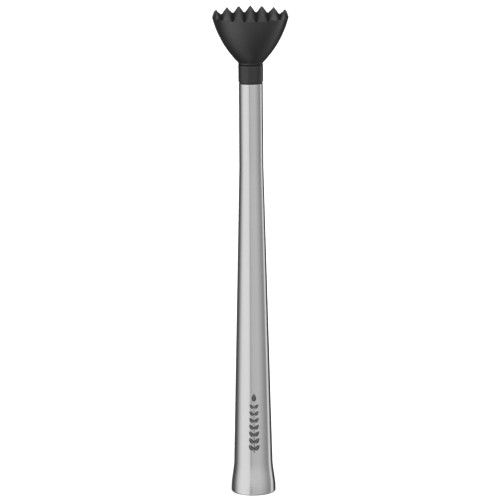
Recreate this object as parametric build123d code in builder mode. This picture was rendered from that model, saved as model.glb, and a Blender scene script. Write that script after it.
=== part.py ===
# Bar muddler: a tapered stainless handle, closed at its flared butt, and a toothed nylon head that
# screws into its thin end. Millimetres, +Z along the handle. The origin is at the centre of the
# butt's flat face, so the muddler stands on Z = 0 with its head up.
import os

from build123d import *

os.makedirs("parts", exist_ok=True)

# ---------------------------------------------------------------- driving dimensions
overall_length = 228.6

# handle tube: outer radii, and the heights where its outline changes
neck_end_radius = 5.56
straight_radius = 5.63
taper_start = 155.0
taper_end = 15.0
taper_end_radius = 9.06
taper_slope = 0.0245
flare_radius = 10.37
flare_height = 1.8
wall = 0.8
tube_top = 194.7
tube_bore_radius = 4.8
top_round = 0.35
butt_round = 0.7

# base cap
cap_height = 3.0
cap_wall = 0.8
cap_corner = 0.9
cap_edge_chamfer = 0.15

# seal between the neck and the tube
seal_thickness = 0.4
seal_outer_radius = 5.15
seal_inner_radius = 3.1

# screw joint: an M6 stud with a pitch of 1 mm, drawn as a plain shank in a plain bore
stud_radius = 2.95
bush_bore_radius = 3.0
bush_length = 10.0
bush_countersink = 0.4
stud_length = 9.0
stud_tip_chamfer = 0.6

# anchor of the stud inside the moulding
collar_radius = 4.0
collar_length = 1.2
anchor_hex_radius = 4.0
anchor_length = 12.0
anchor_groove_radius = 2.7
anchor_groove_width = 2.0
anchor_chamfer = 0.5

# head moulding
neck_top_radius = 5.78
neck_bottom_radius = 5.72
neck_edge_round = 0.5
neck_height = 9.2
bowl_radius = 17.68
bowl_arc_radius = 46.5
bowl_root_round = 0.8
rim_radius_at_tips = 16.6

# teeth: a square grid of pyramids, left by two crossed sets of grooves
tooth_pitch = 5.4
tooth_height = 3.2
tooth_tip_flat = 0.25
groove_floor = 0.5
grooves_each_way = 8

# how far a cutting shape runs past what it cuts
cut_margin = 1.0

# ---------------------------------------------------------------- heights worked out from them
neck_bottom = tube_top + seal_thickness
neck_top = neck_bottom + neck_height
valley_height = overall_length - tooth_height

# ---------------------------------------------------------------- handle tube
# The outer skin runs straight from the neck end, tapers out in a line, and flares to the butt.
# The wall is even, apart from a plain bore at the top for the bush and one at the butt for the cap.
with BuildPart() as handle_tube:
    with BuildSketch(Plane.XZ):
        with BuildLine():
            straight = Line((neck_end_radius, tube_top), (straight_radius, taper_start))
            taper = Line(straight @ 1, (taper_end_radius, taper_end))
            flare = Spline(
                taper @ 1,
                (flare_radius, flare_height),
                tangents=[(taper_slope, -1), (0, -1)],
            )
            butt_side = Line(flare @ 1, (flare_radius, 0))
            Polyline(butt_side @ 1, (0, 0), (0, tube_top), straight @ 0)
        make_face()
    revolve(axis=Axis.Z)
    fillet(handle_tube.edges().group_by(Axis.Z)[0], butt_round)
    fillet(handle_tube.edges().group_by(Axis.Z)[-1], top_round)
    with BuildSketch(Plane.XZ):
        with BuildLine():
            bore = Line((tube_bore_radius, tube_top), (tube_bore_radius, taper_start))
            inner_taper = Line(bore @ 1, (taper_end_radius - wall, taper_end))
            inner_flare = Spline(
                inner_taper @ 1,
                (flare_radius - wall, cap_height),
                tangents=[(taper_slope, -1), (0, -1)],
            )
            cap_seat = Line(inner_flare @ 1, (flare_radius - wall, 0))
            Polyline(cap_seat @ 1, (0, 0), (0, tube_top), bore @ 0)
        make_face()
    revolve(axis=Axis.Z, mode=Mode.SUBTRACT)
handle_tube.part.label = "handle_tube"
export_step(handle_tube.part, "parts/handle_tube.step")

# ---------------------------------------------------------------- base cap
# A shallow pressed cup, pushed into the butt with its floor flush with the tube's rim.
with BuildPart() as base_cap:
    with BuildSketch():
        Circle(flare_radius - wall)
    extrude(amount=cap_height)
    chamfer(base_cap.edges().group_by(Axis.Z)[0], cap_edge_chamfer)
    with BuildSketch(Plane.XY.offset(cap_wall)):
        Circle(flare_radius - wall - cap_wall)
    extrude(amount=cap_height, mode=Mode.SUBTRACT)
    cup_floor_edge = base_cap.edges().filter_by_position(Axis.Z, cap_wall, cap_wall)
    fillet(cup_floor_edge, cap_corner)
base_cap.part.label = "base_cap"
export_step(base_cap.part, "parts/base_cap.step")

# ---------------------------------------------------------------- neck bush
# A steel bush fixed in the tube's small end, flush with its rim, bored to take the stud.
with BuildPart() as neck_bush:
    with BuildSketch(Plane.XY.offset(tube_top - bush_length)):
        Circle(tube_bore_radius)
        Circle(bush_bore_radius, mode=Mode.SUBTRACT)
    extrude(amount=bush_length)
    bore_mouth = neck_bush.edges().group_by(Axis.Z)[-1].sort_by(SortBy.RADIUS)[0]
    chamfer(bore_mouth, bush_countersink)
neck_bush.part.label = "neck_bush"
export_step(neck_bush.part, "parts/neck_bush.step")

# ---------------------------------------------------------------- seal ring
# A flat silicone washer that the neck squeezes against the tube's rim and the bush.
with BuildPart() as seal_ring:
    with BuildSketch(Plane.XY.offset(tube_top)):
        Circle(seal_outer_radius)
        Circle(seal_inner_radius, mode=Mode.SUBTRACT)
    extrude(amount=seal_thickness)
seal_ring.part.label = "seal_ring"
export_step(seal_ring.part, "parts/seal_ring.step")

# ---------------------------------------------------------------- head stud
# Shank, collar flush with the neck's lower face, and a hexagonal anchor that the nylon is moulded
# around. The hexagon stops the stud from turning and the ring groove stops it from pulling out.
anchor_bottom = neck_bottom + collar_length
groove_bottom = anchor_bottom + (anchor_length - anchor_groove_width) / 2

with BuildPart() as head_stud:
    with BuildSketch(Plane.XY.offset(neck_bottom - stud_length)):
        Circle(stud_radius)
    extrude(amount=stud_length)
    chamfer(head_stud.edges().group_by(Axis.Z)[0], stud_tip_chamfer)
    with BuildSketch(Plane.XY.offset(neck_bottom)):
        Circle(collar_radius)
    extrude(amount=collar_length)
    with BuildSketch(Plane.XY.offset(anchor_bottom)):
        RegularPolygon(anchor_hex_radius, 6)
    extrude(amount=anchor_length)
    chamfer(head_stud.edges().group_by(Axis.Z)[-1], anchor_chamfer)
    with BuildSketch(Plane.XY.offset(groove_bottom)):
        Circle(anchor_hex_radius + cut_margin)
        Circle(anchor_groove_radius, mode=Mode.SUBTRACT)
    extrude(amount=anchor_groove_width, mode=Mode.SUBTRACT)
head_stud.part.label = "head_stud"
export_step(head_stud.part, "parts/head_stud.step")

# ---------------------------------------------------------------- muddler head
# One nylon moulding. The bowl is one arc from the neck to its widest edge, above which the rim
# leans in to the tooth tips.
with BuildPart() as muddler_head:
    with BuildSketch(Plane.XZ):
        with BuildLine():
            neck_side = Line((neck_bottom_radius, neck_bottom), (neck_top_radius, neck_top))
            bowl_side = RadiusArc(neck_side @ 1, (bowl_radius, valley_height), -bowl_arc_radius)
            rim = Line(bowl_side @ 1, (rim_radius_at_tips, overall_length))
            Polyline(rim @ 1, (0, overall_length), (0, neck_bottom), neck_side @ 0)
        make_face()
    revolve(axis=Axis.Z)
    circles = muddler_head.edges().filter_by(GeomType.CIRCLE)
    neck_lower_edge = circles.group_by(Axis.Z)[0]
    bowl_root = circles.group_by(Axis.Z)[1]
    fillet(neck_lower_edge, neck_edge_round)
    fillet(bowl_root, bowl_root_round)

    # one groove's section, wide open at the tips, cut at every pitch and both ways
    groove_half_mouth = (tooth_pitch - tooth_tip_flat) / 2
    groove_section = [
        (-groove_floor / 2, 0),
        (groove_floor / 2, 0),
        (groove_half_mouth, tooth_height),
        (groove_half_mouth, tooth_height + cut_margin),
        (-groove_half_mouth, tooth_height + cut_margin),
        (-groove_half_mouth, tooth_height),
    ]
    valley_centre = (0, 0, valley_height)
    across_x = Plane(valley_centre, x_dir=(1, 0, 0), z_dir=(0, -1, 0))
    across_y = Plane(valley_centre, x_dir=(0, 1, 0), z_dir=(1, 0, 0))
    for groove_plane in (across_x, across_y):
        with BuildSketch(groove_plane):
            with GridLocations(tooth_pitch, 0, grooves_each_way, 1):
                Polygon(*groove_section, align=None)
        extrude(amount=bowl_radius + cut_margin, both=True, mode=Mode.SUBTRACT)

    add(head_stud.part, mode=Mode.SUBTRACT)
muddler_head.part.label = "muddler_head"
export_step(muddler_head.part, "parts/muddler_head.step")
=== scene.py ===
# The muddler's looks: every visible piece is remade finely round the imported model, given its
# finish, and stood on a pale floor under soft studio light. Lengths are metres, as the frame's are.
import math

import bmesh
import bpy
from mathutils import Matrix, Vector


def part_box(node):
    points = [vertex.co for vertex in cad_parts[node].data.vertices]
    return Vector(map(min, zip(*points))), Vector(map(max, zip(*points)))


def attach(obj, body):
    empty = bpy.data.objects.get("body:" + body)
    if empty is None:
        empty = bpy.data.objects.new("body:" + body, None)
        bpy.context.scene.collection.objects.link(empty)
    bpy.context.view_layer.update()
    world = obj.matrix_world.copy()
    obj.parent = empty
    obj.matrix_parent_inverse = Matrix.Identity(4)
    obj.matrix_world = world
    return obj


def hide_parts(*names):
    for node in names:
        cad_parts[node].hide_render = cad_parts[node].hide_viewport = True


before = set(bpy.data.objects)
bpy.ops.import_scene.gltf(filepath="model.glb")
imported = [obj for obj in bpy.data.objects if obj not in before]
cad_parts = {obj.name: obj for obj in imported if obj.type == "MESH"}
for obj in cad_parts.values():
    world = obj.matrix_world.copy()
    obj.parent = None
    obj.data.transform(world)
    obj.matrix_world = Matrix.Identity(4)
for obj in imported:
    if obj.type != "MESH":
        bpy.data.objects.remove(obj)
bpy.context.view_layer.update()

MM = 0.001
FULL_TURN = 2 * math.pi
TOUCHING = 1e-6

# ---------------------------------------------------------------- places read from the frame
tube_low, tube_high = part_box("handle_tube")
cap_low, cap_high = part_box("base_cap")
bush_low, bush_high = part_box("neck_bush")
seal_low, seal_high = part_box("seal_ring")
stud_low, stud_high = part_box("head_stud")
head_low, head_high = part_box("muddler_head")

butt_radius = tube_high.x
cap_radius = cap_high.x
bush_radius = bush_high.x
seal_radius = seal_high.x
collar_radius = stud_high.x
tube_top = tube_high.z
neck_bottom = head_low.z
tooth_tips = head_high.z

# ---------------------------------------------------------------- handle tube sizes
TUBE_NECK_RADIUS = 5.56 * MM
TUBE_STRAIGHT_RADIUS = 5.63 * MM
TAPER_START = 155 * MM
TAPER_END = 15 * MM
TAPER_END_RADIUS = 9.06 * MM
TAPER_SLOPE = 0.0245
FLARE_HEIGHT = 1.8 * MM
WALL = 0.8 * MM
TOP_ROUND = 0.35 * MM
BUTT_ROUND = 0.7 * MM

# ---------------------------------------------------------------- head sizes
NECK_TOP_RADIUS = 5.78 * MM
NECK_BOTTOM_RADIUS = 5.72 * MM
NECK_EDGE_ROUND = 0.5 * MM
NECK_HEIGHT = 9.2 * MM
BOWL_RADIUS = 17.68 * MM
BOWL_ARC_RADIUS = 46.5 * MM
BOWL_ROOT_ROUND = 0.8 * MM
RIM_RADIUS_AT_TIPS = 16.6 * MM
RIM_ROUND = 0.6 * MM
CREASE_DEPTH = 0.6 * MM
CREASE_WIDTH = 0.6 * MM
CREASE_EDGE = 0.06 * MM
TOOTH_PITCH = 5.4 * MM
TOOTH_HEIGHT = 3.2 * MM
TOOTH_TIP_FLAT = 0.25 * MM
TOOTH_EDGE_ROUND = 0.16 * MM
GROOVE_FLOOR = 0.5 * MM
TEETH_EACH_WAY = 7
TOOTH_SUNK = 0.3 * MM
CROWN_ABOVE_TIPS = 0.4 * MM

# ---------------------------------------------------------------- etched sprig sizes
SPRIG_LOW = 20.5 * MM
SPRIG_LEAVES = 21.6 * MM
SPRIG_TIP = 49 * MM
SPRIG_OFF_CENTRE = 0.43 * MM
STEM_WIDTH = 0.42 * MM
STEM_TIP_SHARE = 0.5
VEIN_WIDTH = 0.1 * MM
LEAF_PAIRS = 7
LEAF_SPACING = 3.35 * MM
LEAF_ANGLE = 40
LEAF_LENGTH = 3.5 * MM
LEAF_SHORTENING = 0.13 * MM
LEAF_WIDTH_SHARE = 0.56
LEAF_FOOT_SHARE = 0.06
LEAF_FULLNESS = 0.9
LEAF_FULLNESS_PLACE = 0.8
LEAF_OFF_STEM = 1.4
TIP_LEAF_WIDTH = 2.1 * MM
TIP_LEAF_OVERLAP = 0.2 * MM
ETCH_PROUD = 0.015 * MM
ETCH_THICKNESS = 0.03 * MM

# ---------------------------------------------------------------- screw joint sizes
THREAD_PITCH = 1.0 * MM
THREAD_CREST_RADIUS = 2.95 * MM
THREAD_ROOT_RADIUS = 2.4 * MM
THREAD_CLEARANCE = 0.06 * MM
THREAD_START = 0.13
THREAD_SPARE_TURNS = 2
THREAD_FLANK_ANGLE = 30
BUSH_COUNTERSINK = 0.4 * MM
STUD_TIP_CHAMFER = 0.6 * MM
STUD_TIP_TRIM = 0.02 * MM
CREST_MARGIN = 0.01 * MM
RUNOUT_START = 0.8 * MM
RUNOUT_END = 0.2 * MM
RUNOUT_UNDERCUT = 0.05 * MM
COLLAR_LENGTH = 1.2 * MM
COLLAR_EDGE_ROUND = 0.12 * MM
ANCHOR_RADIUS = 4.0 * MM
ANCHOR_CHAMFER = 0.4 * MM
ANCHOR_SUNK = 0.2 * MM
ANCHOR_GROOVE_RADIUS = 2.7 * MM
ANCHOR_GROOVE_WIDTH = 2.0 * MM

# ---------------------------------------------------------------- seal and cap sizes
SEAL_HOLE_RADIUS = 3.1 * MM
SEAL_EDGE_ROUND = 0.15 * MM
CAP_WALL = 0.8 * MM
CAP_EDGE_ROUND = 0.22 * MM
CAP_CORNER = 0.9 * MM
CAP_RINGS_BELOW = (0.35, 0.7)
CAP_RING_INSIDE = 0.4

# ---------------------------------------------------------------- how finely the shapes are drawn
TURN_STEPS = 144
SMALL_TURN_STEPS = 96
TOOL_TURN_STEPS = 64
THREAD_STEPS = 48
ROUND_STEPS = 5
BUTT_ROUND_STEPS = 8
CREASE_ROUND_STEPS = 3
STRAIGHT_STEPS = 8
TAPER_STEPS = 28
FLARE_STEPS = 16
INNER_FLARE_STEPS = 10
BOWL_STEPS = 22
NECK_STEPS = 4
LEAF_STEPS = 9
STEM_STEPS = 12

# how far a cutting shape runs past what it cuts
CUT_MARGIN = 1 * MM


# ---------------------------------------------------------------- bench tools
def pick_nothing():
    bpy.ops.object.select_all(action="DESELECT")


def pick(piece):
    pick_nothing()
    piece.select_set(True)
    bpy.context.view_layer.objects.active = piece


def name_piece(name):
    piece = bpy.context.active_object
    piece.name = name
    piece.data.name = name
    return piece


def select_where(piece, kind, wanted):
    """In edit mode, selects only the vertices, edges or faces that the rule wants."""
    bpy.ops.mesh.select_mode(type={"verts": "VERT", "edges": "EDGE", "faces": "FACE"}[kind])
    bpy.ops.mesh.select_all(action="DESELECT")
    mesh = bmesh.from_edit_mesh(piece.data)
    for element in getattr(mesh, kind):
        if wanted(element):
            element.select_set(True)
    mesh.select_flush_mode()
    bmesh.update_edit_mesh(piece.data)


def merge_all():
    """In edit mode, selects everything and merges what touches."""
    bpy.ops.mesh.select_all(action="SELECT")
    bpy.ops.mesh.remove_doubles(threshold=TOUCHING)


def apply_modifier(piece, kind, **settings):
    pick(piece)
    modifier = piece.modifiers.new(kind.title(), kind)
    for key, value in settings.items():
        setattr(modifier, key, value)
    bpy.ops.object.modifier_apply(modifier=modifier.name)


def cut_with(piece, tool, how="DIFFERENCE"):
    """Cuts, joins or trims a piece with another solid, which is then thrown away.

    Points that a cut leaves within a micron of each other are merged, so that no slivers stay.
    """
    apply_modifier(piece, "BOOLEAN", object=tool, operation=how, solver="EXACT")
    bpy.data.objects.remove(tool, do_unlink=True)
    bpy.ops.object.mode_set(mode="EDIT")
    merge_all()
    bpy.ops.object.mode_set(mode="OBJECT")


def round_corner(before, corner, after, radius, steps=ROUND_STEPS):
    """Points of the round that replaces an outline's corner."""
    (ax, az), (bx, bz), (cx, cz) = before, corner, after
    in_x, in_z = ax - bx, az - bz
    out_x, out_z = cx - bx, cz - bz
    in_length, out_length = math.hypot(in_x, in_z), math.hypot(out_x, out_z)
    in_x, in_z = in_x / in_length, in_z / in_length
    out_x, out_z = out_x / out_length, out_z / out_length
    half = math.acos(max(-1, min(1, in_x * out_x + in_z * out_z))) / 2
    back = radius / math.tan(half)
    mid_x, mid_z = in_x + out_x, in_z + out_z
    mid_length = math.hypot(mid_x, mid_z)
    centre_x = bx + mid_x / mid_length * radius / math.sin(half)
    centre_z = bz + mid_z / mid_length * radius / math.sin(half)
    first = math.atan2(bz + in_z * back - centre_z, bx + in_x * back - centre_x)
    last = math.atan2(bz + out_z * back - centre_z, bx + out_x * back - centre_x)
    sweep = (last - first + math.pi) % FULL_TURN - math.pi
    return [
        (
            centre_x + radius * math.cos(first + sweep * step / steps),
            centre_z + radius * math.sin(first + sweep * step / steps),
        )
        for step in range(steps + 1)
    ]


def draw_outline(outline):
    """Draws a line through (radius, height) points, from a fresh plane merged to a point."""
    bpy.ops.object.mode_set(mode="EDIT")
    bpy.ops.mesh.select_mode(type="VERT")
    bpy.ops.mesh.select_all(action="SELECT")
    bpy.ops.mesh.merge(type="CENTER")
    bpy.ops.transform.translate(value=(outline[0][0], 0, outline[0][1]))
    for (radius, height), (next_radius, next_height) in zip(outline, outline[1:]):
        step = (next_radius - radius, 0, next_height - height)
        bpy.ops.mesh.extrude_vertices_move(TRANSFORM_OT_translate={"value": step})


def turned(name, outline, steps=TURN_STEPS):
    """Turns an outline of (radius, height) points round the handle's axis, as on a lathe."""
    pick_nothing()
    bpy.ops.mesh.primitive_plane_add(size=MM, location=(0, 0, 0))
    piece = name_piece(name)
    draw_outline(outline)
    bpy.ops.mesh.select_all(action="SELECT")
    bpy.ops.mesh.spin(steps=steps, angle=FULL_TURN, center=(0, 0, 0), axis=(0, 0, 1))
    merge_all()
    bpy.ops.mesh.normals_make_consistent(inside=False)
    bpy.ops.object.mode_set(mode="OBJECT")
    return piece


def smooth(piece, angle=40):
    """Smooth shading that keeps edges sharper than the angle, and flat faces flat."""
    pick(piece)
    bpy.ops.object.shade_smooth_by_angle(angle=math.radians(angle))
    apply_modifier(piece, "WEIGHTED_NORMAL", weight=80, keep_sharp=True)


def fit(piece, body, slot, material, *nodes):
    """Sets a finished piece on its body, with its finish, in place of its CAD nodes."""
    piece.data.materials.clear()
    piece.data.materials.append(material)
    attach(piece, body)
    if nodes:
        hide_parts(*nodes)


# ---------------------------------------------------------------- finishes
class Mix:
    """A node tree being mixed, with short ways to add nodes and to join them."""

    def __init__(self, tree):
        self.nodes = tree.nodes
        self.links = tree.links

    def add(self, kind, inputs=None, **settings):
        """Adds a node. An input is either a value or another node's output."""
        node = self.nodes.new("ShaderNode" + kind)
        for key, value in settings.items():
            setattr(node, key, value)
        for socket, value in (inputs or {}).items():
            if isinstance(value, bpy.types.NodeSocket):
                self.links.new(value, node.inputs[socket])
            else:
                node.inputs[socket].default_value = value
        return node

    def math(self, operation, first, second=0.0):
        return self.add("Math", {0: first, 1: second}, operation=operation).outputs[0]

    def between(self, value, low, high, from_low=0.3, from_high=0.7, **settings):
        """Maps a pattern to the range that a socket takes."""
        inputs = {
            "Value": value,
            "From Min": from_low,
            "From Max": from_high,
            "To Min": low,
            "To Max": high,
        }
        return self.add("MapRange", inputs, **settings).outputs["Result"]


class Finish(Mix):
    """A material: one shader, with patterns on the piece's own coordinates."""

    def __init__(self, name, colour, **shader_values):
        self.material = bpy.data.materials.new(name)
        self.material.use_nodes = True
        super().__init__(self.material.node_tree)
        self.shader = self.nodes["Principled BSDF"]
        self.shader.inputs["Base Color"].default_value = (*colour, 1)
        for socket, value in shader_values.items():
            self.shader.inputs[socket.replace("_", " ")].default_value = value

    def join(self, socket, name):
        self.links.new(socket, self.shader.inputs[name])

    def position(self, stretch=(1, 1, 1)):
        """The piece's own coordinates, packed tighter along each axis by the stretch."""
        place = self.add("TexCoord").outputs["Object"]
        return self.add("Mapping", {"Vector": place, "Scale": stretch}).outputs["Vector"]

    def noise(self, scale, detail=2.0, stretch=(1, 1, 1), roughness=0.5):
        inputs = {
            "Vector": self.position(stretch),
            "Scale": scale,
            "Detail": detail,
            "Roughness": roughness,
        }
        return self.add("TexNoise", inputs).outputs["Fac"]

    def grey(self, value, low, high, from_low=0.3, from_high=0.7):
        """Maps a pattern to a grey between two tones."""
        level = self.between(value, low, high, from_low, from_high)
        return self.add("CombineColor", {0: level, 1: level, 2: level}).outputs["Color"]

    def bump(self, height, distance, strength):
        inputs = {"Height": height, "Distance": distance, "Strength": strength}
        return self.add("Bump", inputs).outputs["Normal"]


def brushed_stainless():
    """Satin stainless, linished while it turned, so that its grain runs round it in fine rings."""
    finish = Finish(
        "brushed_stainless",
        (0.56, 0.56, 0.555),
        Metallic=1.0,
        Anisotropic=0.7,
        Anisotropic_Rotation=0.25,
    )
    rings = finish.noise(420, detail=4, stretch=(0.05, 0.05, 14), roughness=0.65)
    clouds = finish.noise(70, stretch=(1, 1, 0.35))
    grain = finish.between(rings, 0.2, 0.27)
    finish.join(finish.grey(rings, 0.54, 0.58), "Base Color")
    finish.join(finish.math("ADD", grain, finish.between(clouds, -0.015, 0.015)), "Roughness")
    finish.join(finish.bump(rings, 0.00001, 0.3), "Normal")
    return finish.material


def turned_stainless():
    """The base cap's finish: rings of fine tool marks round the centre of the face."""
    finish = Finish("turned_stainless", (0.66, 0.66, 0.655), Metallic=1.0)
    flat = finish.add("VectorMath", {0: finish.position(), 1: (1, 1, 0)}, operation="MULTIPLY")
    radius = finish.add("VectorMath", {0: flat.outputs["Vector"]}, operation="LENGTH")
    track = finish.add("CombineXYZ", {"X": radius.outputs["Value"]}).outputs["Vector"]
    rings = finish.add("TexNoise", {"Vector": track, "Scale": 5200.0, "Detail": 3.0}).outputs["Fac"]
    finish.join(finish.grey(rings, 0.58, 0.7), "Base Color")
    finish.join(finish.between(rings, 0.2, 0.34), "Roughness")
    finish.join(finish.bump(rings, 0.00002, 0.5), "Normal")
    return finish.material


def machined_steel():
    """Plain machined steel of the stud and bush, a little dulled by cutting oil."""
    finish = Finish("machined_steel", (0.56, 0.555, 0.545), Metallic=1.0)
    stain = finish.noise(600, detail=3)
    marks = finish.noise(900, stretch=(0.1, 0.1, 8))
    finish.join(finish.grey(stain, 0.48, 0.6), "Base Color")
    finish.join(finish.between(marks, 0.24, 0.4), "Roughness")
    finish.join(finish.bump(marks, 0.00001, 0.3), "Normal")
    return finish.material


def black_nylon():
    """Moulded nylon: near black, with a fine spark-eroded grain and a soft satin sheen."""
    finish = Finish("black_nylon", (0.006, 0.006, 0.006), Specular_IOR_Level=0.6)
    grain = finish.noise(3800)
    flow = finish.noise(160, detail=3)
    finish.join(finish.grey(flow, 0.003, 0.006), "Base Color")
    finish.join(finish.between(flow, 0.28, 0.33), "Roughness")
    finish.join(finish.bump(grain, 0.00002, 0.2), "Normal")
    return finish.material


def silicone():
    """Soft black silicone with a matt, slightly dusty surface."""
    finish = Finish("silicone", (0.03, 0.03, 0.03))
    dust = finish.noise(1500, detail=3)
    finish.join(finish.grey(dust, 0.024, 0.04), "Base Color")
    finish.join(finish.between(dust, 0.58, 0.74), "Roughness")
    finish.join(finish.bump(dust, 0.00001, 0.2), "Normal")
    return finish.material


def etched_mark():
    """Electro-etched steel: a dark, matt, finely frosted oxide."""
    finish = Finish("etched_mark", (0.03, 0.03, 0.03), Metallic=0.2)
    frost = finish.noise(4200, detail=3)
    finish.join(finish.grey(frost, 0.018, 0.045), "Base Color")
    finish.join(finish.between(frost, 0.5, 0.7), "Roughness")
    return finish.material


# ---------------------------------------------------------------- handle tube
def flare_outline(start, end, start_slope, steps):
    """The flare: a cubic from the taper's end to the widest point, where it runs straight down."""
    (start_radius, start_height), (end_radius, end_height) = start, end
    reach = math.hypot(end_radius - start_radius, end_height - start_height)
    points = []
    for step in range(1, steps + 1):
        t = step / steps
        to_start, to_end = 2 * t**3 - 3 * t**2 + 1, -2 * t**3 + 3 * t**2
        lead_in, lead_out = (t**3 - 2 * t**2 + t) * reach, (t**3 - t**2) * reach
        radius = to_start * start_radius + to_end * end_radius + lead_in * start_slope
        height = to_start * start_height + to_end * end_height - lead_in - lead_out
        points.append((radius, height))
    return points


def straight_run(start, end, steps):
    """Points after the start of a straight stretch, up to its end."""
    return [
        (
            start[0] + (end[0] - start[0]) * step / steps,
            start[1] + (end[1] - start[1]) * step / steps,
        )
        for step in range(1, steps + 1)
    ]


def make_handle_tube():
    """Its outline runs down the outside from the thin end's rim, and back up the inside."""
    bore = bush_radius
    inner_butt = butt_radius - WALL
    top_corner = (TUBE_NECK_RADIUS, tube_top)
    straight_end = (TUBE_STRAIGHT_RADIUS, TAPER_START)
    taper_end = (TAPER_END_RADIUS, TAPER_END)
    widest = (butt_radius, FLARE_HEIGHT)
    butt_corner = (butt_radius, tube_low.z)
    outline = [(bore, tube_top)]
    outline += round_corner((bore, tube_top), top_corner, straight_end, TOP_ROUND)
    outline += straight_run(outline[-1], straight_end, STRAIGHT_STEPS)
    outline += straight_run(straight_end, taper_end, TAPER_STEPS)
    outline += flare_outline(taper_end, widest, TAPER_SLOPE, FLARE_STEPS)
    inner_corner = (inner_butt, tube_low.z)
    outline += round_corner(widest, butt_corner, inner_corner, BUTT_ROUND, BUTT_ROUND_STEPS)
    outline += [inner_corner, (inner_butt, cap_high.z)]
    seat_end = (butt_radius, cap_high.z)
    inner_flare = flare_outline(taper_end, seat_end, TAPER_SLOPE, INNER_FLARE_STEPS)
    outline += [(radius - WALL, height) for radius, height in reversed(inner_flare[:-1])]
    outline += [(TAPER_END_RADIUS - WALL, TAPER_END), (bore, TAPER_START), (bore, tube_top)]
    tube = turned("brushed_tube", outline)
    smooth(tube, angle=50)
    return tube


# ---------------------------------------------------------------- etched sprig
def half_leaf_outline(foot, length, width, lean, side):
    """One side of a pointed leaf, closed along its vein. The lean is from upright, to the right."""
    along = (math.sin(math.radians(lean)), math.cos(math.radians(lean)))
    across = (along[1] * side, -along[0] * side)
    edge = [(LEAF_FOOT_SHARE, 0.0)]
    for step in range(1, LEAF_STEPS):
        t = step / LEAF_STEPS
        edge.append((t, math.sin(math.pi * t**LEAF_FULLNESS_PLACE) ** LEAF_FULLNESS))
    edge.append((1.0, 0.0))
    vein = VEIN_WIDTH / 2
    outline = [(foot[0] + across[0] * vein, foot[1] + across[1] * vein)]
    for t, swell in edge:
        out = vein + swell * (width / 2 - vein)
        outline.append(
            (
                foot[0] + along[0] * length * t + across[0] * out,
                foot[1] + along[1] * length * t + across[1] * out,
            )
        )
    return outline + outline[:1]


def flat_shape(name, outline):
    """A flat plate in the plane that faces the front, cut finely enough to be wrapped."""
    pick_nothing()
    bpy.ops.mesh.primitive_plane_add(size=MM, location=(0, 0, 0))
    shape = name_piece(name)
    draw_outline(outline)
    merge_all()
    bpy.ops.mesh.select_all(action="SELECT")
    bpy.ops.mesh.edge_face_add()
    bpy.ops.mesh.poke()
    bpy.ops.mesh.subdivide(number_cuts=2)
    bpy.ops.object.mode_set(mode="OBJECT")
    return shape


def make_sprig(tube):
    """A leafy sprig etched low on the front of the handle."""
    middle = SPRIG_OFF_CENTRE
    half_foot = STEM_WIDTH / 2
    half_tip = half_foot * STEM_TIP_SHARE
    stem_top = SPRIG_LEAVES + LEAF_SPACING * LEAF_PAIRS
    foot_right, foot_left = (middle + half_foot, SPRIG_LOW), (middle - half_foot, SPRIG_LOW)
    tip_right, tip_left = (middle + half_tip, stem_top), (middle - half_tip, stem_top)
    stem = [foot_right]
    stem += straight_run(foot_right, tip_right, STEM_STEPS)
    stem += straight_run(tip_left, foot_left, STEM_STEPS)
    shapes = [flat_shape("stem", stem + stem[:1])]
    tip_foot = (middle, stem_top - TIP_LEAF_OVERLAP)
    leaves = [(tip_foot, SPRIG_TIP - tip_foot[1], TIP_LEAF_WIDTH, 0)]
    for pair in range(LEAF_PAIRS):
        length = LEAF_LENGTH - LEAF_SHORTENING * pair
        for side in (-1, 1):
            foot = (
                middle + side * half_foot * LEAF_OFF_STEM,
                SPRIG_LEAVES + pair * LEAF_SPACING,
            )
            leaves.append((foot, length, length * LEAF_WIDTH_SHARE, side * LEAF_ANGLE))
    for foot, length, width, lean in leaves:
        for side in (-1, 1):
            shapes.append(flat_shape("leaf", half_leaf_outline(foot, length, width, lean, side)))
    pick(shapes[0])
    for shape in shapes:
        shape.select_set(True)
    bpy.ops.object.join()
    sprig = name_piece("etched_sprig")
    bpy.ops.object.mode_set(mode="EDIT")
    bpy.ops.mesh.select_all(action="SELECT")
    bpy.ops.transform.translate(value=(0, -2 * butt_radius, 0))
    bpy.ops.object.mode_set(mode="OBJECT")
    apply_modifier(
        sprig,
        "SHRINKWRAP",
        target=tube,
        wrap_method="PROJECT",
        use_project_y=True,
        use_negative_direction=False,
        use_positive_direction=True,
        wrap_mode="ABOVE_SURFACE",
        offset=ETCH_PROUD,
    )
    # the plates are turned to face the front, so that the etching thickens into the steel
    bpy.ops.object.mode_set(mode="EDIT")
    bpy.ops.mesh.select_all(action="SELECT")
    bpy.ops.mesh.normals_make_consistent(inside=False)
    bpy.ops.object.mode_set(mode="OBJECT")
    if sprig.data.polygons[0].normal.y > 0:
        bpy.ops.object.mode_set(mode="EDIT")
        bpy.ops.mesh.flip_normals()
        bpy.ops.object.mode_set(mode="OBJECT")
    apply_modifier(sprig, "SOLIDIFY", thickness=ETCH_THICKNESS, offset=-1)
    smooth(sprig)
    return sprig


# ---------------------------------------------------------------- base cap
def make_base_cap():
    """A shallow pressed cup, floor down. Rings between centre and rim keep its faces even."""
    inside = cap_radius - CAP_WALL
    low, high = cap_low.z, cap_high.z
    floor = low + CAP_WALL
    outline = [(0, low)]
    outline += [(cap_radius * share, low) for share in CAP_RINGS_BELOW]
    outline += round_corner((0, low), (cap_radius, low), (cap_radius, high), CAP_EDGE_ROUND)
    outline += [(cap_radius, high), (inside, high)]
    outline += round_corner((inside, high), (inside, floor), (0, floor), CAP_CORNER)
    outline += [(cap_radius * CAP_RING_INSIDE, floor), (0, floor)]
    cap = turned("butt_cap", outline)
    smooth(cap)
    return cap


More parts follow.
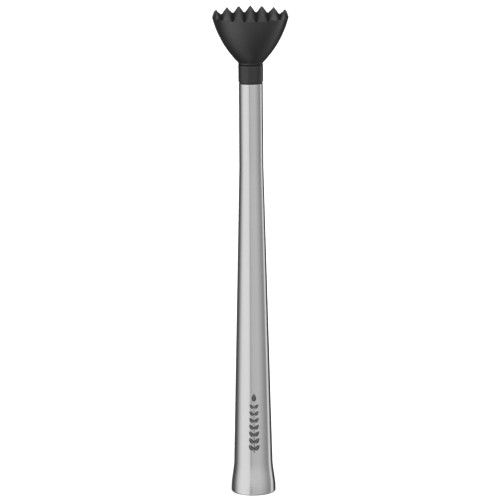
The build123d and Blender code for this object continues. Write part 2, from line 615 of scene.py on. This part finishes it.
# ---------------------------------------------------------------- seal ring
def make_seal_ring():
    """A flat washer with rounded edges."""
    hole = SEAL_HOLE_RADIUS
    low, high = seal_low.z, seal_high.z
    corners = [(hole, low), (seal_radius, low), (seal_radius, high), (hole, high)]
    outline = []
    for before, corner, after in zip(corners[-1:] + corners, corners, corners[1:] + corners):
        outline += round_corner(before, corner, after, SEAL_EDGE_ROUND)
    outline.append(outline[0])
    ring = turned("seal_washer", outline)
    smooth(ring, angle=60)
    return ring


# ---------------------------------------------------------------- screw thread
def make_thread(name, low, high, spread=0.0):
    """A right-hand thread between two heights, closed at both ends. The spread makes it fatter.

    Its crest is an eighth of the pitch wide. Every thread is laid out from the tube's rim, so that
    the stud's fits the bush's.
    """
    root = THREAD_ROOT_RADIUS + spread
    crest = THREAD_CREST_RADIUS + spread
    half_crest = THREAD_PITCH / 16 + spread / 2
    half_root = half_crest + (crest - root) * math.tan(math.radians(THREAD_FLANK_ANGLE))
    turns_below_seam = math.ceil((tube_top - low) / THREAD_PITCH) + THREAD_SPARE_TURNS
    start = tube_top - (turns_below_seam + THREAD_START) * THREAD_PITCH
    profile = [
        (root, start - THREAD_PITCH / 2),
        (root, start - half_root),
        (crest, start - half_crest),
        (crest, start + half_crest),
        (root, start + half_root),
        (root, start + THREAD_PITCH / 2),
    ]
    pick_nothing()
    bpy.ops.mesh.primitive_plane_add(size=MM, location=(0, 0, 0))
    thread = name_piece(name)
    draw_outline(profile)
    bpy.ops.object.mode_set(mode="OBJECT")
    turns = math.ceil((high - start) / THREAD_PITCH) + THREAD_SPARE_TURNS
    apply_modifier(
        thread,
        "SCREW",
        axis="Z",
        angle=FULL_TURN,
        screw_offset=THREAD_PITCH,
        iterations=turns,
        steps=THREAD_STEPS,
        render_steps=THREAD_STEPS,
        use_merge_vertices=True,
        merge_threshold=TOUCHING,
        use_normal_calculate=True,
    )
    bpy.ops.object.mode_set(mode="EDIT")
    merge_all()
    for height, is_top in ((low, False), (high, True)):
        bpy.ops.mesh.select_all(action="SELECT")
        bpy.ops.mesh.bisect(
            plane_co=(0, 0, height),
            plane_no=(0, 0, 1),
            use_fill=True,
            clear_inner=not is_top,
            clear_outer=is_top,
            threshold=TOUCHING / 10,
        )
    merge_all()
    bpy.ops.mesh.normals_make_consistent(inside=False)
    bpy.ops.object.mode_set(mode="OBJECT")
    return thread


# ---------------------------------------------------------------- neck bush
def make_neck_bush():
    """A bush with a countersunk mouth. Its bore starts a little small, and the tap clears it."""
    bore = THREAD_ROOT_RADIUS
    mouth = BUSH_COUNTERSINK
    low, high = bush_low.z, bush_high.z
    outline = [
        (bore, low),
        (bush_radius, low),
        (bush_radius, high),
        (THREAD_CREST_RADIUS + mouth, high),
        (bore, high - mouth - THREAD_CREST_RADIUS + bore),
        (bore, low),
    ]
    bush = turned("threaded_bush", outline, SMALL_TURN_STEPS)
    tap = make_thread("tap", low - THREAD_PITCH, high + THREAD_PITCH, THREAD_CLEARANCE)
    cut_with(bush, tap)
    smooth(bush, angle=25)
    return bush


# ---------------------------------------------------------------- head stud
def make_stud_body():
    """The collar and the hexagonal anchor, above the thread."""
    collar_top = neck_bottom + COLLAR_LENGTH
    centre, corner = (0, neck_bottom), (collar_radius, neck_bottom)
    rim = (collar_radius, collar_top)
    outline = [centre, *round_corner(centre, corner, rim, COLLAR_EDGE_ROUND), rim, (0, collar_top)]
    collar = turned("threaded_stud", outline, SMALL_TURN_STEPS)
    pick_nothing()
    middle = (collar_top + stud_high.z) / 2
    bpy.ops.mesh.primitive_cylinder_add(
        vertices=6,
        radius=ANCHOR_RADIUS,
        depth=stud_high.z - collar_top + ANCHOR_SUNK,
        location=(0, 0, middle - ANCHOR_SUNK / 2),
        rotation=(0, 0, math.radians(30)),
    )
    anchor = name_piece("anchor")
    bpy.ops.object.transform_apply(location=True, rotation=True, scale=True)
    bpy.ops.object.mode_set(mode="EDIT")
    select_where(anchor, "edges", lambda edge: all(vert.co.z > middle for vert in edge.verts))
    bpy.ops.mesh.bevel(offset=ANCHOR_CHAMFER, segments=1)
    bpy.ops.object.mode_set(mode="OBJECT")
    inner, outer = ANCHOR_GROOVE_RADIUS, ANCHOR_RADIUS + CUT_MARGIN
    low, high = middle - ANCHOR_GROOVE_WIDTH / 2, middle + ANCHOR_GROOVE_WIDTH / 2
    groove = [(inner, low), (outer, low), (outer, high), (inner, high), (inner, low)]
    cut_with(anchor, turned("groove", groove, TOOL_TURN_STEPS))
    cut_with(collar, anchor, "UNION")
    return collar


def make_head_stud():
    """The stud: a thread with a chamfered tip and a runout, joined to its collar and anchor."""
    thread_top = neck_bottom + COLLAR_LENGTH / 2
    thread = make_thread("stud_thread", stud_low.z, thread_top)
    crest = THREAD_CREST_RADIUS + CREST_MARGIN
    runout = THREAD_ROOT_RADIUS - RUNOUT_UNDERCUT
    tip = stud_low.z + STUD_TIP_TRIM
    envelope = [
        (0, tip),
        (crest - STUD_TIP_CHAMFER, tip),
        (crest, stud_low.z + STUD_TIP_CHAMFER),
        (crest, neck_bottom - RUNOUT_START),
        (runout, neck_bottom - RUNOUT_END),
        (runout, thread_top + CUT_MARGIN),
        (0, thread_top + CUT_MARGIN),
    ]
    cut_with(thread, turned("envelope", envelope, SMALL_TURN_STEPS), "INTERSECT")
    stud = make_stud_body()
    cut_with(stud, thread, "UNION")
    smooth(stud, angle=25)
    return stud


# ---------------------------------------------------------------- head moulding
def bowl_outline(start, end, radius, steps):
    """The bowl's one arc, bulging outwards, from the neck's top to its widest edge."""
    middle_x, middle_z = (start[0] + end[0]) / 2, (start[1] + end[1]) / 2
    chord_x, chord_z = end[0] - start[0], end[1] - start[1]
    chord = math.hypot(chord_x, chord_z)
    back = math.sqrt(radius**2 - (chord / 2) ** 2)
    centre_x, centre_z = middle_x - chord_z / chord * back, middle_z + chord_x / chord * back
    first = math.atan2(start[1] - centre_z, start[0] - centre_x)
    last = math.atan2(end[1] - centre_z, end[0] - centre_x)
    return [
        (
            centre_x + radius * math.cos(first + (last - first) * step / steps),
            centre_z + radius * math.sin(first + (last - first) * step / steps),
        )
        for step in range(steps + 1)
    ]


def make_tooth():
    """One tooth with softened edges, standing through the groove floor."""
    flank = (TOOTH_PITCH - GROOVE_FLOOR - TOOTH_TIP_FLAT) / 2 / TOOTH_HEIGHT
    half_base = (TOOTH_PITCH - GROOVE_FLOOR) / 2 + flank * TOOTH_SUNK / 2
    height = TOOTH_HEIGHT + TOOTH_SUNK
    diagonal = math.sqrt(2)
    pick_nothing()
    bpy.ops.mesh.primitive_cone_add(
        vertices=4,
        radius1=half_base * diagonal,
        radius2=TOOTH_TIP_FLAT / 2 * diagonal,
        depth=height,
        location=(0, 0, tooth_tips - height / 2),
        rotation=(0, 0, math.radians(45)),
    )
    tooth = name_piece("tooth")
    bpy.ops.object.transform_apply(location=True, rotation=True, scale=True)
    bpy.ops.object.mode_set(mode="EDIT")
    top = tooth_tips - TOUCHING
    select_where(tooth, "edges", lambda edge: any(vert.co.z > top for vert in edge.verts))
    bpy.ops.mesh.bevel(offset=TOOTH_EDGE_ROUND, segments=2, profile=0.5)
    bpy.ops.object.mode_set(mode="OBJECT")
    return tooth


def make_tooth_field():
    """All the teeth as one set of solids, copied across and along the square grid."""
    first = make_tooth()
    half_way = TEETH_EACH_WAY // 2
    teeth = []
    for column in range(-half_way, half_way + 1):
        for row in range(-half_way, half_way + 1):
            # a tooth whose nearest corner is past the bowl's edge isn't there
            if math.hypot(abs(column) - 0.5, abs(row) - 0.5) * TOOTH_PITCH > BOWL_RADIUS:
                continue
            tooth = first.copy()
            tooth.data = first.data.copy()
            bpy.context.collection.objects.link(tooth)
            tooth.location = (column * TOOTH_PITCH, row * TOOTH_PITCH, 0)
            teeth.append(tooth)
    bpy.data.objects.remove(first, do_unlink=True)
    pick_nothing()
    for tooth in teeth:
        tooth.select_set(True)
    bpy.context.view_layer.objects.active = teeth[0]
    bpy.ops.object.join()
    bpy.ops.object.transform_apply(location=True, rotation=True, scale=True)
    return name_piece("tooth_field")


def make_muddler_head():
    """The moulding: neck, crease, bowl and rim, with the stud's pocket and the teeth cut in."""
    neck_top = (NECK_TOP_RADIUS, neck_bottom + NECK_HEIGHT)
    neck_corner = (NECK_BOTTOM_RADIUS, neck_bottom)
    valley = tooth_tips - TOOTH_HEIGHT
    rim = (BOWL_RADIUS, valley)
    rim_lean = (BOWL_RADIUS - RIM_RADIUS_AT_TIPS) / TOOTH_HEIGHT
    crown = tooth_tips + CROWN_ABOVE_TIPS
    crown_edge = (RIM_RADIUS_AT_TIPS - rim_lean * (crown - tooth_tips), crown)
    bowl = bowl_outline(neck_top, rim, BOWL_ARC_RADIUS, BOWL_STEPS)
    outline = [(0, neck_bottom)]
    outline += round_corner((0, neck_bottom), neck_corner, neck_top, NECK_EDGE_ROUND)
    crease_top = neck_top[1] - BOWL_ROOT_ROUND / 2
    above = (NECK_TOP_RADIUS, crease_top)
    crease = (NECK_TOP_RADIUS - CREASE_DEPTH, crease_top - CREASE_WIDTH / 2)
    below = (NECK_TOP_RADIUS, crease_top - CREASE_WIDTH)
    outline += straight_run(outline[-1], below, NECK_STEPS)[:-1]
    corners = [outline[-1], below, crease, above, neck_top]
    for before, corner, after in zip(corners, corners[1:], corners[2:]):
        outline += round_corner(before, corner, after, CREASE_EDGE, CREASE_ROUND_STEPS)
    outline += round_corner(above, neck_top, bowl[1], BOWL_ROOT_ROUND)
    outline += bowl[1:-2]
    outline += round_corner(bowl[-3], rim, crown_edge, RIM_ROUND)
    outline += [crown_edge, (0, crown)]
    head = turned("toothed_head", outline)

    # the pocket's lower face is moved clear of the neck's, as a cut goes wrong where faces coincide
    pocket = make_stud_body()
    bpy.ops.object.mode_set(mode="EDIT")
    select_where(pocket, "verts", lambda vert: vert.co.z < neck_bottom + TOUCHING)
    bpy.ops.transform.translate(value=(0, 0, -CUT_MARGIN))
    bpy.ops.object.mode_set(mode="OBJECT")
    cut_with(head, pocket)

    # the teeth are what is left when the space between them is cut away
    outside, over = BOWL_RADIUS + 2 * CUT_MARGIN, crown + CUT_MARGIN
    grooves = [(0, valley), (outside, valley), (outside, over), (0, over)]
    mould = turned("mould", grooves, TOOL_TURN_STEPS)
    cut_with(mould, make_tooth_field())
    cut_with(head, mould)
    smooth(head, angle=35)
    return head


# ---------------------------------------------------------------- studio
# What stands round the object, by azimuth from the camera in degrees to the right: how bright it is
# near the table, at eye level, and a little above. A broad card stands on the left and a strip on
# the right, with dark curtains behind.
SURROUNDINGS = (
    (-180, 0.14, 0.16, 0.03),
    (-150, 0.10, 0.09, 0.06),
    (-127, 0.18, 0.12, 0.14),
    (-116, 0.37, 0.20, 0.24),
    (-107, 0.67, 0.42, 0.46),
    (-98, 1.04, 0.68, 0.72),
    (-90, 1.34, 0.90, 0.94),
    (-82, 1.59, 1.08, 1.10),
    (-70, 1.83, 1.20, 1.24),
    (-40, 1.59, 1.20, 1.24),
    (-21, 1.28, 1.12, 1.20),
    (-17, 1.22, 0.44, 1.02),
    (-12, 1.16, 0.42, 1.00),
    (-6, 1.10, 0.70, 1.00),
    (38, 0.76, 0.79, 0.95),
    (50, 0.73, 0.69, 0.86),
    (62, 0.58, 0.62, 0.78),
    (72, 0.56, 0.50, 0.68),
    (82, 0.55, 0.42, 0.56),
    (98, 0.60, 0.38, 0.50),
    (104, 0.70, 0.50, 0.60),
    (110, 0.75, 1.20, 1.30),
    (123, 0.60, 1.15, 1.25),
    (129, 0.35, 0.05, 0.06),
    (150, 0.10, 0.05, 0.03),
    (180, 0.14, 0.16, 0.03),
)
CEILING_LEVEL = 1.8
BACK_CEILING_LEVEL = 0.1
UNDER_TABLE_SHARE = 0.45

# A ray's height runs from -1, straight down, to 1, straight up. Over each of these bands, one zone
# gives way to the next. The last band runs from front to back.
UNDER_TABLE_BAND = (-0.95, -0.55)
TABLE_BAND = (-0.6, -0.35)
EYE_BAND = (-0.14, 0)
CEILING_BAND = (0.4, 0.7)
CEILING_BACK_BAND = (-0.3, 0.3)

SUN_STRENGTH = 2.3
SUN_WIDTH = 140
FLOOR_RADIUS = 9
FLOOR_GREY = 0.93

CAMERA_PLACE = (-0.0009, -1.609, 0.4462)
CAMERA_LOOKS_DOWN = 11.6
CAMERA_ROLL = -0.4
CAMERA_LENS = 253.5
CAMERA_SENSOR = 36


def make_floor():
    pick_nothing()
    bpy.ops.mesh.primitive_circle_add(
        vertices=SMALL_TURN_STEPS, radius=FLOOR_RADIUS, fill_type="NGON", location=(0, 0, 0)
    )
    floor = name_piece("floor")
    finish = Finish("pale_floor", (FLOOR_GREY, FLOOR_GREY, FLOOR_GREY), Roughness=0.9)
    floor.data.materials.append(finish.material)
    floor.visible_glossy = False


def make_camera():
    """The camera stands in front and a little above, looking down, with a long lens."""
    bpy.ops.object.camera_add(location=CAMERA_PLACE)
    camera = bpy.context.active_object
    camera.rotation_mode = "XYZ"
    camera.rotation_euler = (math.radians(90 - CAMERA_LOOKS_DOWN), 0, 0)
    camera.rotation_euler.rotate_axis("Z", math.radians(CAMERA_ROLL))
    camera.data.lens = CAMERA_LENS
    camera.data.sensor_width = CAMERA_SENSOR
    bpy.context.scene.camera = camera


def add_surroundings(mix, around, column):
    """A ramp of one column of the surroundings' levels, round the object."""
    ramp = mix.add("ValToRGB", {"Fac": around})
    stops = ramp.color_ramp.elements
    stops.remove(stops[-1])
    for index, levels in enumerate(SURROUNDINGS):
        place = (levels[0] + 180) / 360
        stop = stops.new(place) if index else stops[0]
        stop.position = place
        stop.color = (*[levels[column]] * 3, 1)
    return ramp.outputs["Color"]


def make_world():
    """The studio that the pieces mirror, and the white backdrop that the camera sees."""
    world = bpy.data.worlds.new("studio")
    bpy.context.scene.world = world
    world.use_nodes = True
    mix = Mix(world.node_tree)
    x, y, z = mix.add("SeparateXYZ", {0: mix.add("TexCoord").outputs["Generated"]}).outputs
    azimuth = mix.math("ARCTAN2", x, mix.math("MULTIPLY", y, -1.0))
    around = mix.between(azimuth, 0, 1, -math.pi, math.pi)
    white = (1, 1, 1, 1)
    under_table = mix.between(z, UNDER_TABLE_SHARE, 1, *UNDER_TABLE_BAND)
    near_table = {"Color": add_surroundings(mix, around, 1), "Strength": under_table}
    ceiling = mix.between(y, CEILING_LEVEL, BACK_CEILING_LEVEL, *CEILING_BACK_BAND)
    room = mix.add("Background", near_table).outputs[0]
    for light, band in (
        ({"Color": add_surroundings(mix, around, 2)}, TABLE_BAND),
        ({"Color": add_surroundings(mix, around, 3)}, EYE_BAND),
        ({"Color": white, "Strength": ceiling}, CEILING_BAND),
    ):
        part = mix.add("Background", light).outputs[0]
        height = mix.between(z, 0, 1, *band, interpolation_type="SMOOTHSTEP")
        room = mix.add("MixShader", {0: height, 1: room, 2: part}).outputs[0]
    backdrop = mix.add("Background", {"Color": white}).outputs[0]
    seen = mix.add("LightPath").outputs["Is Camera Ray"]
    result = mix.add("MixShader", {0: seen, 1: room, 2: backdrop}).outputs[0]
    mix.links.new(result, mix.nodes["World Output"].inputs["Surface"])


def make_lights():
    """One very soft lamp overhead, which lights the floor and isn't mirrored in the steel."""
    pick_nothing()
    bpy.ops.object.light_add(type="SUN")
    lamp = bpy.context.active_object
    lamp.data.energy = SUN_STRENGTH
    lamp.data.angle = math.radians(SUN_WIDTH)
    lamp.visible_glossy = False


# ---------------------------------------------------------------- assembly
make_camera()
make_lights()
make_world()
make_floor()

steel = brushed_stainless()
bare_steel = machined_steel()
tube = make_handle_tube()
fit(tube, "handle", "brushed_stainless", steel, "handle_tube")
fit(make_sprig(tube), "handle", "brushed_stainless", etched_mark())
fit(make_base_cap(), "handle", "turned_stainless", turned_stainless(), "base_cap")
fit(make_neck_bush(), "handle", "machined_steel", bare_steel, "neck_bush")
fit(make_seal_ring(), "seal", "silicone", silicone(), "seal_ring")
fit(make_head_stud(), "head", "machined_steel", bare_steel, "head_stud")
fit(make_muddler_head(), "head", "black_nylon", black_nylon(), "muddler_head")

bpy.context.scene.view_settings.view_transform = "Standard"
